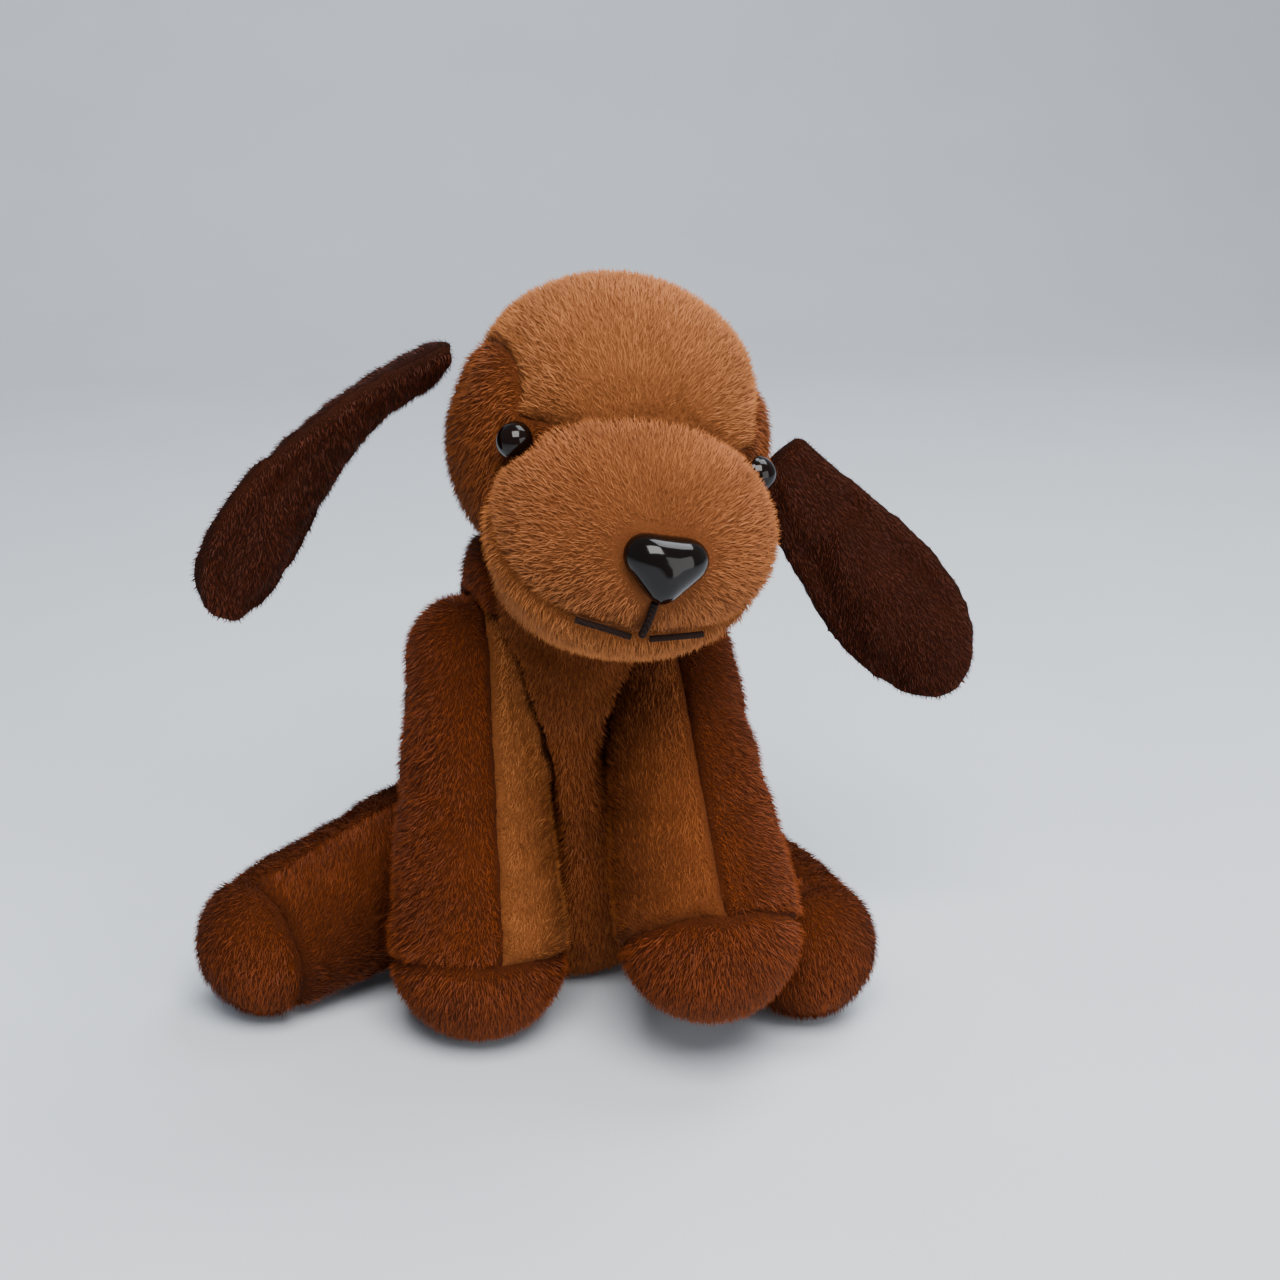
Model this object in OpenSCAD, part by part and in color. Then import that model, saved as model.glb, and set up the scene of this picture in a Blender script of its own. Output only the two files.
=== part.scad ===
// Sitting plush puppy, sewn from short-pile fabric panels over loose fibre filling.
// Millimetres, +Z up, the dog faces -Y. The origin is the middle of the flat under its seat.
// Every fabric panel, lump of filling, plastic fitting and length of thread is a solid of its own.

/* [Fabric] */
// Thickness of the plush fabric with its pile
fabric_t = 1.6; // [1.2:0.1:2.4]
// Space between a panel and the filling behind it
fill_gap = 0.25; // [0.15:0.05:0.5]
// Half of the gap between two panels that share a seam
seam_gap = 0.1; // [0.05:0.05:0.3]
// Clearance between two parts that move against each other
joint_gap = 0.5; // [0.4:0.1:1]

/* [Torso] */
// Radius of the seat
seat_r = 30; // [25:0.5:36]
// Height of the middle of the seat, less than its radius so that it sits flat
seat_h = 25; // [20:0.5:28]
// Radius of the neck, a ball that the head turns on
neck_r = 19; // [16:0.5:22]
// Height of the neck's middle
neck_h = 77; // [70:0.5:90]
// How far the neck leans in front of the seat
neck_lean = 15; // [5:0.5:22]
// Width of the panel down the chest and belly
belly_w = 30; // [20:1:36]
// Radius of the pouch of pellets in the belly
pouch_r = 10; // [8:0.5:10.5]
// Radius of one weighting pellet
pellet_r = 1.6; // [1.2:0.1:2]

/* [Head] */
// Radius of the skull
skull_r = 27; // [23:0.5:31]
// Height of the skull's middle above the neck's middle
skull_up = 30; // [26:0.5:34]
// How far the skull's middle is in front of the neck's middle
skull_fwd = 5; // [0:0.5:9]
// Half of the muzzle's width
muzzle_w = 24; // [20:0.5:28]
// Radius of the muzzle seen from the side
muzzle_r = 19.5; // [16:0.5:22]
// How far the muzzle's middle is in front of the skull's middle
muzzle_fwd = 24; // [20:0.5:28]
// How far the muzzle's middle is below the skull's middle
muzzle_drop = 9; // [6:0.5:13]
// Half of the chin's width
chin_w = 20; // [15:0.5:23]
// Radius of the chin seen from the side
chin_r = 13; // [10:0.5:15]
// Width of the forehead panel at the crown
forehead_w = 46; // [34:1:50]
// Angle below level of the mouth seam, seen from the muzzle's middle
mouth_angle = 38; // [30:1:55]
// Head turned to its own left
head_yaw = 3; // [0:1:12]
// Head tilted towards its own left shoulder
head_roll = 11; // [0:1:15]
// Head bent down
head_pitch = 4; // [0:1:8]

/* [Eyes and nose] */
// Radius of a domed eye
eye_r = 3.1; // [2.4:0.1:4]
// Angle of each eye from straight ahead
eye_azimuth = 47; // [40:1:60]
// Angle of each eye above level
eye_elevation = 5; // [0:1:18]
// How far an eye stands off the skull, to be level with the muzzle beside it
eye_out = 1.6; // [0.8:0.1:2.2]
// Radius of a ribbed shank behind an eye or the nose
shank_r = 1.2; // [1:0.1:1.6]
// Length of a shank
shank_len = 9; // [7:0.5:11]
// Radius of a lock washer
washer_r = 4.4; // [3.5:0.1:5.5]
// Thickness of a lock washer
washer_t = 1; // [0.8:0.1:1.5]
// Width of the nose
nose_w = 14; // [11:0.5:17]
// Height of the nose
nose_h = 11; // [9:0.5:13]
// How far the nose stands out
nose_out = 5.5; // [4:0.5:7]
// Angle of the nose above level, seen from the muzzle's middle
nose_angle = 4; // [0:1:16]
// Radius of the embroidery thread
thread_r = 0.55; // [0.4:0.05:0.8]

/* [Ears] */
// Length of an ear along its middle
ear_len = 60; // [48:1:66]
// Half of the widest part of an ear
ear_w = 13.5; // [10:0.5:16]
// Half of an ear's width where it is sewn on
ear_base_w = 8.5; // [6:0.5:11]
// Thickness of one layer of an ear
ear_t = 3.4; // [2.5:0.1:4.5]

/* [Legs] */
// Radius of a foreleg at the shoulder
shoulder_r = 12; // [11:0.5:15]
// Radius of a forepaw
paw_r = 16; // [13.5:0.5:17]
// Length of a foreleg from the shoulder's middle to the paw's middle
foreleg_len = 52; // [48:1:56]
// How far forward the right foreleg leans, which stands on the ground
foreleg_lean_right = 19; // [16:1:24]
// How far forward the left foreleg leans, which rests on the left hind leg
foreleg_lean_left = 39; // [30:1:44]
// How far the forelegs lean outwards
foreleg_tilt = 2; // [0:0.5:5]
// How far the right foreleg's front seam is twisted inwards
foreleg_twist = 9; // [0:1:15]
// Radius of a hind leg at the hip
hip_r = 16.5; // [14:0.5:17.5]
// Radius of a hind foot
foot_r = 13.5; // [12:0.5:15]
// Angle of the right hind leg from straight ahead
hind_splay_right = 60; // [50:1:75]
// Angle of the left hind leg from straight ahead
hind_splay_left = 27; // [22:1:60]
// Length of the right hind leg from the hip's middle to the foot's middle
hind_len_right = 42; // [38:1:48]
// Length of the left hind leg from the hip's middle to the foot's middle
hind_len_left = 44; // [38:1:48]

/* [Tail] */
// Length of the tail
tail_len = 26; // [18:1:34]
// Radius of the tail at its root
tail_r = 6; // [4:0.5:8]

/* [Hidden] */
// Sides that stand for a full circle wherever a round face is rebuilt as flats.
$round = 48;

plush = [0.45, 0.25, 0.13];
dark_plush = [0.27, 0.13, 0.07];
fibre = [0.93, 0.92, 0.9];
black_plastic = [0.03, 0.02, 0.02];
black_thread = [0.1, 0.05, 0.04];
big = 400;
LEFT = 1;
RIGHT = -1;

neck_at = [0, -neck_lean, neck_h];
seat_at = [0, 0, seat_h];
skull_at = neck_at + [0, -skull_fwd, skull_up];
muzzle_at = skull_at + [0, -muzzle_fwd, -muzzle_drop];
chin_at = muzzle_at + [0, 6.5, -9.5];
shoulder_at = [shoulder_r + 5.5, -17, paw_r + 0.3 + foreleg_len * cos(foreleg_lean_right)];
hip_at = [hip_r + 3.5, 1, 19.5];
pouch_at = [0, 4, 42];
tail_at = [0, seat_r - 4, 17];
// The wad of filling in the neck, and how far the forehead panel's cut is tipped back.
neck_wad_r = 5.5;
forehead_tilt = [-18, 0, 0];
// Degrees that a hind leg splays outwards from rest, and that the tail wags each way.
hind_swing = 20;
tail_swing = 20;

function lerp(a, b, t) = a + (b - a) * t;
function smooth(t) = t * t * (3 - 2 * t);

// ---------- shared shapes ----------

// A stuffed tube: a ball about the origin, another up Z, and a cone between that all but touches both.
module tube(len, r0, r1, grow = 0) {
    sphere(r = r0 + grow, $fn = $round);
    translate([0, 0, len])
        sphere(r = r1 + grow, $fn = $round);
    flank(len, r0, r1, grow);
}

module flank(len, r0, r1, grow = 0) {
    lean = asin((r0 - r1) / len);
    translate([0, 0, (r0 + grow) * sin(lean)])
        cylinder(r1 = (r0 + grow) * cos(lean) - 0.12, r2 = (r1 + grow) * cos(lean) - 0.12,
            h = len - (r0 - r1) * sin(lean), $fn = $round);
}

// Room for a tube that turns about its near ball by as much as the spread, either way.
module tube_room(len, r0, r1, spread, grow) {
    sphere(r = r0 + grow, $fn = $round);
    cylinder(r1 = r0 + grow + 0.3, r2 = r1 + grow + 0.3 + len * tan(spread), h = len, $fn = $round);
}

// A ball that is w half wide along X and r in radius across it.
module wide_ball(w, r, grow = 0, steps = 24)
    rotate([0, 90, 0])
        rotate_extrude($fn = $round)
            polygon([for (i = [0 : steps])
                [(r + grow) * sin(180 * i / steps), -(w + grow) * cos(180 * i / steps)]]);

// Turns Z onto the line from a to b and moves the origin to a.
module along(a, b) {
    d = b - a;
    translate(a)
        rotate([0, acos(d.z / norm(d)), atan2(d.y, d.x)])
            children();
}

// A tube of thread through the points, one polyhedron.
module thread(points, r, sides = 8) {
    n = len(points);
    rings = [for (i = [0 : n - 1])
        let (d = points[min(i + 1, n - 1)] - points[max(i - 1, 0)],
            t = d / norm(d),
            s = cross(t, abs(t.z) < 0.9 ? [0, 0, 1] : [1, 0, 0]),
            u = s / norm(s),
            v = cross(t, u))
        for (k = [0 : sides - 1]) points[i] + r * (cos(360 * k / sides) * u + sin(360 * k / sides) * v)];
    polyhedron(rings, concat(
        [[for (k = [0 : sides - 1]) k]],
        [for (i = [0 : n - 2], k = [0 : sides - 1]) let (j = (k + 1) % sides)
            [i * sides + k, (i + 1) * sides + k, (i + 1) * sides + j, i * sides + j]],
        [[for (k = [sides - 1 : -1 : 0]) (n - 1) * sides + k]]));
}

// ---------- torso ----------

module torso_form(grow = 0)
    intersection() {
        union() {
            translate(seat_at)
                sphere(r = seat_r + grow, $fn = $round);
            translate(neck_at)
                sphere(r = neck_r + grow, $fn = $round);
            along(seat_at, neck_at)
                flank(norm(neck_at - seat_at), seat_r, neck_r, grow - 0.3);
        }
        translate([-big / 2, -big / 2, -grow])
            cube(big);
    }

// What the moving parts need out of the torso, over all of their travel.
module torso_reliefs(extra = 0) {
    for (side = [LEFT, RIGHT]) {
        foreleg_place(side) {
            tube_room(foreleg_len, shoulder_r, paw_r, 0, joint_gap + extra);
            translate([0, 0, foreleg_len])
                sphere(r = paw_r + joint_gap + extra, $fn = $round);
        }
        hindleg_place(side, side * hind_swing / 2)
            tube_room(hind_len(side), hip_r, foot_r, hind_swing / 2, joint_gap + extra);
    }
    tail_place()
        tube_room(tail_len, tail_r, tail_r * 0.7, tail_swing, joint_gap + extra);
}

module torso_shell()
    difference() {
        torso_form();
        torso_form(-fabric_t);
        torso_reliefs();
    }

// The strip down the chest and under the belly, as far as the tail.
module belly_zone(grow = 0)
    union() {
        translate([-belly_w / 2 - grow, -big, -big / 2])
            cube([belly_w + 2 * grow, big, big]);
        translate([-belly_w / 2 - grow, -1, -big / 2])
            cube([belly_w + 2 * grow, seat_r * 0.7 + grow, big / 2 + 3 + grow]);
    }

module torso_side(side)
    color(plush)
        difference() {
            intersection() {
                torso_shell();
                translate([side > 0 ? seam_gap : -big - seam_gap, -big / 2, -big / 2])
                    cube(big);
            }
            belly_zone(seam_gap);
        }

module belly_panel()
    color(plush)
        intersection() {
            torso_shell();
            belly_zone(-seam_gap);
        }

module pouch_form(grow = 0)
    translate(pouch_at)
        sphere(r = pouch_r + grow, $fn = $round);

// The filling parts at the height of the pouch's middle, where the pouch is put in.
module torso_filling(upper) {
    $round = 28;
    color(fibre)
        difference() {
            torso_form(-fabric_t - fill_gap);
            torso_reliefs(fabric_t);
            pouch_form(fill_gap);
            translate([-big / 2, -big / 2, pouch_at.z + (upper ? seam_gap - big : -seam_gap)])
                cube(big);
            if (upper)
                translate(neck_at) {
                    sphere(r = neck_wad_r + joint_gap, $fn = $round);
                    cylinder(r = 4, h = big, $fn = $round);
                }
        }
}

module pellet_pouch()
    color([0.85, 0.86, 0.88])
        difference() {
            pouch_form();
            pouch_form(-0.6);
        }

// Pellets in square layers inside the pouch.
module pellets() {
    pitch = 2.3 * pellet_r;
    room = pouch_r - 0.6 - pellet_r - 0.3;
    steps = floor(room / pitch);
    color([0.9, 0.9, 0.86])
        for (x = [-steps : steps], y = [-steps : steps], z = [-steps : 0])
            if (norm([x, y, z]) * pitch <= room)
                translate(pouch_at + [x, y, z] * pitch)
                    sphere(r = pellet_r, $fn = 24);
}

// The back opening is closed by hand with a ladder of short stitches across the middle seam.
module back_closing_stitches() {
    len = norm(neck_at - seat_at);
    lean = asin((seat_r - neck_r) / len);
    axis = (neck_at - seat_at) / len;
    back = [0, axis.z, -axis.y];
    color([0.3, 0.16, 0.09])
        for (i = [0 : 6]) {
            far = len * (0.25 + 0.07 * i);
            r = (seat_r - far * sin(lean)) / cos(lean) + thread_r / 2 + 0.15;
            middle = seat_at + axis * far + back * r;
            thread([for (x = [-1.5 : 0.75 : 1.5]) middle + [x, 0, x * 0.15]], thread_r / 2, 6);
        }
}

// ---------- neck ----------

module neck_stuffing()
    color(fibre)
        translate(neck_at)
            sphere(r = neck_wad_r, $fn = $round);

// ---------- head ----------

// Puts the head's parts, drawn facing straight ahead, into the pose that it rests in.
module head_pose()
    translate(neck_at)
        rotate([head_pitch, head_roll, head_yaw])
            translate(-neck_at)
                children();

module skull(grow = 0, pole = [0, 0, 0])
    translate(skull_at)
        rotate(pole)
            sphere(r = skull_r + grow, $fn = $round);

module muzzle(grow = 0)
    translate(muzzle_at)
        wide_ball(muzzle_w, muzzle_r, grow);

module chin(grow = 0)
    translate(chin_at)
        wide_ball(chin_w, chin_r, grow);

module neck_socket(extra = 0)
    translate(neck_at)
        sphere(r = neck_r + joint_gap + extra, $fn = $round);

// Everything below the mouth seam, in front of the throat.
module below_mouth(grow = 0)
    translate(muzzle_at)
        rotate([mouth_angle, 0, 0])
            translate([-big / 2, -big / 2, -big + grow])
                cube(big);

// The muzzle's seam lies where its form comes out of the skull.
module muzzle_panel()
    color(plush)
        difference() {
            muzzle();
            muzzle(-fabric_t);
            skull(seam_gap);
            below_mouth(seam_gap);
            nose_shank_hole();
            for (side = [LEFT, RIGHT])
                eye_place(side)
                    eye_bed();
        }

module chin_panel()
    color(plush)
        difference() {
            intersection() {
                union() {
                    muzzle();
                    chin();
                }
                below_mouth(-seam_gap);
            }
            muzzle(-fabric_t);
            chin(-fabric_t);
            skull(seam_gap);
            neck_socket();
        }

module skull_shell(pole)
    difference() {
        skull(0, pole);
        skull(-fabric_t, pole);
        muzzle(seam_gap);
        chin(seam_gap);
        neck_socket();
    }

// The forehead panel narrows from the crown to the muzzle and to the nape.

module forehead_zone(grow = 0)
    translate(skull_at)
        rotate(forehead_tilt)
            intersection_for(side = [LEFT, RIGHT])
                translate([side * (60 - forehead_w / 2), 0, 0])
                    cylinder(r = 60 + grow, h = big, $fn = 96);

module forehead_panel()
    color(plush)
        intersection() {
            skull_shell([0, 90, 0]);
            forehead_zone(-seam_gap);
        }

module head_side(side)
    color(plush)
        difference() {
            intersection() {
                skull_shell([0, side * 90, 0]);
                translate([side > 0 ? seam_gap : -big - seam_gap, -big / 2, -big / 2])
                    cube(big);
            }
            forehead_zone(seam_gap);
            eye_place(side)
                translate([0, 0, -shank_len])
                    cylinder(r = shank_r + 0.15, h = 2 * shank_len, $fn = 32);
        }

module head_stuffing() {
    $round = 32;
    color(fibre)
        difference() {
            union() {
                skull(-fabric_t - fill_gap, [0, 90, 0]);
                muzzle(-fabric_t - fill_gap);
                chin(-fabric_t - fill_gap);
            }
            neck_socket(fill_gap);
            for (side = [LEFT, RIGHT])
                eye_place(side)
                    fitting_room();
            nose_place()
                fitting_room();
        }
}

// ---------- eyes and nose ----------

// Z points out of the fabric, whose outer face is at Z 0.
module eye_place(side)
    translate(skull_at)
        rotate([0, 0, side * eye_azimuth - 90])
            rotate([0, 90 - eye_elevation, 0])
                translate([0, 0, skull_r])
                    children();

module nose_place()
    translate(muzzle_at)
        rotate([90 - nose_angle, 0, 0])
            translate([0, 0, muzzle_r])
                children();

// Room in the filling for a shank and its washer.
module fitting_room() {
    translate([0, 0, -shank_len - 0.5])
        cylinder(r = shank_r + fill_gap, h = shank_len + 1, $fn = 32);
    translate([0, 0, -fabric_t - washer_t - 1])
        cylinder(r = washer_r + fill_gap, h = washer_t + 1, $fn = 32);
}

module shank()
    translate([0, 0, -shank_len]) {
        cylinder(r = shank_r, h = shank_len, $fn = 32);
        for (i = [1 : 4])
            translate([0, 0, i * 1.1])
                cylinder(r1 = shank_r - 0.2, r2 = shank_r + 0.1, h = 0.5, $fn = 32);
    }

// The hollow that an eye presses into the muzzle beside it.
module eye_bed()
    translate([0, 0, eye_out])
        sphere(r = eye_r + 0.45, $fn = $round);

// A half ball on a thin flange, with its shank behind.
module eye(side)
    head_pose()
        eye_place(side)
            color(black_plastic) {
                intersection() {
                    translate([0, 0, eye_out])
                        sphere(r = eye_r, $fn = $round);
                    translate([-big / 2, -big / 2, eye_out])
                        cube(big);
                }
                translate([0, 0, eye_out])
                    cylinder(r = eye_r + 0.15, h = 0.4, $fn = $round);
                translate([0, 0, eye_out + 0.05])
                    shank();
            }

module lock_washer()
    color([0.8, 0.8, 0.78])
        translate([0, 0, -fabric_t - washer_t - 0.6])
            difference() {
                cylinder(r = washer_r, h = washer_t, $fn = $round);
                translate([0, 0, -1])
                    cylinder(r = shank_r + 0.15, h = washer_t + 2, $fn = 32);
            }

// A rounded triangle, wide above and narrow below, domed in front.
module nose()
    head_pose()
        color(black_plastic) {
            difference() {
                nose_place()
                    hull() {
                        for (side = [LEFT, RIGHT])
                            translate([side * (nose_w / 2 - 3.4), nose_h / 2 - 3.4, nose_out - 4.4])
                                sphere(r = 3.4, $fn = 32);
                        translate([0, -nose_h / 2 + 2.6, nose_out - 4.2])
                            sphere(r = 2.6, $fn = 32);
                        translate([0, 0.6, nose_out - 4.2])
                            sphere(r = 4.2, $fn = 32);
                    }
                muzzle(0.2);
            }
            nose_place()
                translate([0, 0, 0.3])
                    shank();
        }

module nose_shank_hole()
    nose_place()
        translate([0, 0, -shank_len])
            cylinder(r = shank_r + 0.15, h = 2 * shank_len, $fn = 32);

// A point just above the muzzle's surface, x to the side and an angle below level.
function on_muzzle(x, angle, lift) =
    let (r = muzzle_r * sqrt(1 - pow(x / muzzle_w, 2)) + lift)
    muzzle_at + [x, -r * cos(angle), -r * sin(angle)];

module philtrum_stitch()
    head_pose()
        color(black_thread)
            thread([for (a = [12 : 4 : mouth_angle - 3]) on_muzzle(0, a, thread_r * 1.3)], thread_r * 1.2);

module mouth_stitches()
    head_pose()
        color(black_thread)
            for (side = [LEFT, RIGHT])
                thread([for (x = [1.6 : 1.5 : 10.6])
                    on_muzzle(side * x, mouth_angle - 2 - 3 * sin(x * 14), thread_r + 0.1)], thread_r);

// ---------- ears ----------

// Where an ear's hinge is, as two angles on the skull; the slope of the ear where it starts and at its tip;
// how far it is turned back; and how much it is twisted about its middle where it starts and at its tip.
function ear_shape(side) = side > 0
    ? [98, -2, 34, 46, -8, 0, 14]
    : [96, 17, 28, 76, -26, 44, 14];

// Both ears are drawn as the left one, and the right one is mirrored afterwards.
module ear_place(side) {
    s = ear_shape(side);
    translate(skull_at)
        rotate([0, 0, s[0] - 90])
            rotate([0, -s[1], 0])
                translate([skull_r + ear_t + joint_gap, 0, 0])
                    rotate([0, s[1], 0])
                        rotate([0, 0, 90 - s[0] + s[4]])
                            children();
}

// A point in an ear: t along it, u across it from -1 to 1, and h out of its middle sheet towards the front.
function ear_point(side, t, u, h) =
    let (s = ear_shape(side),
        turn = (s[3] - s[2]) * PI / 180,
        a = lerp(s[2], s[3], t),
        bend_r = ear_len / turn,
        middle = [bend_r * (sin(a) - sin(s[2])), 0, bend_r * (cos(a) - cos(s[2]))],
        twist = lerp(s[5], s[6], smooth(t)),
        up = [sin(a), 0, cos(a)],
        front = [0, -1, 0],
        across = cos(twist) * up + sin(twist) * front,
        out = cos(twist) * front - sin(twist) * up,
        w = ear_half_width(t),
        cup = -2.2 * (u * u - 0.3) * smooth(min(1, 3 * t)))
    middle + u * w * across + (h + cup) * out;

function ear_half_width(t) =
    t < 0.66 ? lerp(ear_base_w, ear_w, smooth(t / 0.66))
    : ear_w * sqrt(max(0.03, 1 - pow((t - 0.66) / 0.345, 2)));

function ear_half_t(t, u) =
    ear_t * (0.12 + 0.88 * sqrt(max(0, 1 - u * u)))
    * sqrt(max(0.02, 1 - pow(max(0, ear_t / ear_len - t) / (ear_t / ear_len), 2)))
    * (t > 0.86 ? sqrt(max(0.05, 1 - pow((t - 0.86) / 0.145, 2))) : 1);

// One layer of an ear as a closed shell, in front of the middle sheet or behind it.
module ear_layer(side, facing, rows = 16, columns = 10) {
    function t_of(i) = (1 - cos(180 * i / rows)) / 2;
    function u_of(k) = -cos(180 * k / columns);
    m = columns + 1;
    inner = [for (i = [0 : rows], k = [0 : columns])
        ear_point(side, t_of(i), u_of(k), facing * seam_gap)];
    outer = [for (i = [0 : rows], k = [0 : columns])
        ear_point(side, t_of(i), u_of(k), facing * (seam_gap + ear_half_t(t_of(i), u_of(k))))];
    points = facing > 0 ? concat(inner, outer) : concat(outer, inner);
    half = (rows + 1) * m;
    function lower(i, k) = i * m + k;
    function upper(i, k) = half + i * m + k;
    polyhedron(points, concat(
        [for (i = [0 : rows - 1], k = [0 : columns - 1]) each [
            [lower(i, k), lower(i + 1, k), lower(i + 1, k + 1)],
            [lower(i, k), lower(i + 1, k + 1), lower(i, k + 1)],
            [upper(i, k), upper(i + 1, k + 1), upper(i + 1, k)],
            [upper(i, k), upper(i, k + 1), upper(i + 1, k + 1)]]],
        [for (i = [0 : rows - 1]) each [
            [lower(i, 0), upper(i, 0), upper(i + 1, 0)],
            [lower(i, 0), upper(i + 1, 0), lower(i + 1, 0)],
            [lower(i, columns), upper(i + 1, columns), upper(i, columns)],
            [lower(i, columns), lower(i + 1, columns), upper(i + 1, columns)]]],
        [for (k = [0 : columns - 1]) each [
            [lower(0, k), upper(0, k + 1), upper(0, k)],
            [lower(0, k), lower(0, k + 1), upper(0, k + 1)],
            [lower(rows, k), upper(rows, k), upper(rows, k + 1)],
            [lower(rows, k), upper(rows, k + 1), lower(rows, k + 1)]]]));
}

module ear(side, facing)
    head_pose()
        color(dark_plush)
            if (side == LEFT)
                ear_place(LEFT)
                    ear_layer(LEFT, facing);
            else
                mirror([1, 0, 0])
                    ear_place(RIGHT)
                        ear_layer(RIGHT, facing);

// ---------- legs ----------

function foreleg_lean(side) = side > 0 ? foreleg_lean_left : foreleg_lean_right;
function hind_splay(side) = side > 0 ? hind_splay_left : hind_splay_right;
function hind_len(side) = side > 0 ? hind_len_left : hind_len_right;
// The pivot is at the origin, and the leg's length runs up Z.
module foreleg_place(side)
    translate([side * shoulder_at.x, shoulder_at.y, shoulder_at.z])
        rotate([180 - foreleg_lean(side), -side * foreleg_tilt, 0])
            children();

module hindleg_place(side, swing = 0)
    translate([side * hip_at.x, hip_at.y, hip_at.z])
        rotate([0, 0, swing])
            rotate([0, 90 + asin((hip_at.z - foot_r - 0.4) / hind_len(side)), -90 + side * hind_splay(side)])
                children();

// Each foreleg is dented where it presses on the hind leg of its side.
module foreleg_form(side, grow = 0)
    difference() {
        foreleg_place(side)
            tube(foreleg_len, shoulder_r, paw_r, grow);
        hindleg_place(side)
            tube(hind_len(side), hip_r, foot_r, joint_gap - grow);
    }

module hindleg_form(side, grow = 0)
    hindleg_place(side)
        tube(hind_len(side), hip_r, foot_r, grow);

// Everything on one side of a leg's middle, in the leg's own place.
module beside(side, gap)
    translate([side > 0 ? gap : -big - gap, -big / 2, -big / 2])
        cube(big);

// Everything beyond a leg's sole seam, in the leg's own place.
module beyond(len, gap)
    translate([-big / 2, -big / 2, len + 1 + gap])
        cube(big);

// The outer and inner panels meet in a seam down the front and back, and the sole closes the end.
module foreleg(side, part) {
    if (part == "stuffing")
        color(fibre)
            foreleg_form(side, -fabric_t - fill_gap);
    else
        color(plush)
            difference() {
                intersection() {
                    foreleg_form(side);
                    foreleg_place(side)
                        if (part == "sole")
                            beyond(foreleg_len, seam_gap);
                        else
                            rotate([0, 0, side == RIGHT ? -foreleg_twist : 0])
                                beside(part == "outer" ? side : -side, seam_gap);
                }
                foreleg_form(side, -fabric_t);
                if (part != "sole")
                    foreleg_place(side)
                        beyond(foreleg_len, -seam_gap);
            }
}

module hindleg(side, part) {
    if (part == "stuffing")
        color(fibre)
            hindleg_form(side, -fabric_t - fill_gap);
    else
        color(plush)
            difference() {
                intersection() {
                    hindleg_form(side);
                    hindleg_place(side)
                        if (part == "sole")
                            beyond(hind_len(side), seam_gap);
                        else
                            rotate([0, 0, 90])
                                beside(part == "outer" ? side : -side, seam_gap);
                }
                hindleg_form(side, -fabric_t);
                if (part != "sole")
                    hindleg_place(side)
                        beyond(hind_len(side), -seam_gap);
            }
}

// ---------- tail ----------

module tail_place(wag = 0)
    translate(tail_at)
        rotate([0, 0, wag])
            rotate([-62, 0, 0])
                children();

module tail_half(side)
    tail_place()
        color(plush)
            intersection() {
                difference() {
                    tube(tail_len, tail_r, tail_r * 0.7);
                    tube(tail_len, tail_r, tail_r * 0.7, -fabric_t);
                }
                translate([side > 0 ? seam_gap : -big - seam_gap, -big / 2, -big / 2])
                    cube(big);
            }

module tail_stuffing()
    tail_place()
        color(fibre)
            tube(tail_len, tail_r, tail_r * 0.7, -fabric_t - fill_gap);

// ---------- nodes ----------

torso_side(LEFT);  // torso_side_left
torso_side(RIGHT);  // torso_side_right
belly_panel();
torso_filling(false);  // torso_stuffing
torso_filling(true);  // chest_stuffing
pellet_pouch();
pellets();
back_closing_stitches();
neck_stuffing();
head_pose() forehead_panel();
head_pose() head_side(LEFT);  // head_side_left
head_pose() head_side(RIGHT);  // head_side_right
head_pose() muzzle_panel();
head_pose() chin_panel();
head_pose() head_stuffing();
eye(LEFT);  // eye_left
eye(RIGHT);  // eye_right
head_pose() eye_place(LEFT) lock_washer();  // eye_washer_left
head_pose() eye_place(RIGHT) lock_washer();  // eye_washer_right
nose();
head_pose() nose_place() lock_washer();  // nose_washer
philtrum_stitch();
mouth_stitches();
ear(LEFT, 1);  // ear_left_front
ear(LEFT, -1);  // ear_left_back
ear(RIGHT, 1);  // ear_right_front
ear(RIGHT, -1);  // ear_right_back
foreleg(LEFT, "outer");  // foreleg_left_outer
foreleg(LEFT, "inner");  // foreleg_left_inner
foreleg(LEFT, "sole");  // foreleg_left_sole
foreleg(LEFT, "stuffing");  // foreleg_left_stuffing
foreleg(RIGHT, "outer");  // foreleg_right_outer
foreleg(RIGHT, "inner");  // foreleg_right_inner
foreleg(RIGHT, "sole");  // foreleg_right_sole
foreleg(RIGHT, "stuffing");  // foreleg_right_stuffing
hindleg(LEFT, "outer");  // hindleg_left_outer
hindleg(LEFT, "inner");  // hindleg_left_inner
hindleg(LEFT, "sole");  // hindleg_left_sole
hindleg(LEFT, "stuffing");  // hindleg_left_stuffing
hindleg(RIGHT, "outer");  // hindleg_right_outer
hindleg(RIGHT, "inner");  // hindleg_right_inner
hindleg(RIGHT, "sole");  // hindleg_right_sole
hindleg(RIGHT, "stuffing");  // hindleg_right_stuffing
tail_half(LEFT);  // tail_left
tail_half(RIGHT);  // tail_right
tail_stuffing();
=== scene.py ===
# %% [markdown]
# # A small plush dog
#
# The dog is a bean toy: short brown pile fabric, cut in panels, sewn inside out, turned and
# filled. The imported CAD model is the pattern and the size. This lesson turns it into soft,
# furry fabric. It reads only the frame, so it gives the same dog on every run.

# %% Load the frame
import math

import bpy
import numpy as np
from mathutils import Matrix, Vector
from mathutils.bvhtree import BVHTree
from mathutils.kdtree import KDTree


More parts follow.
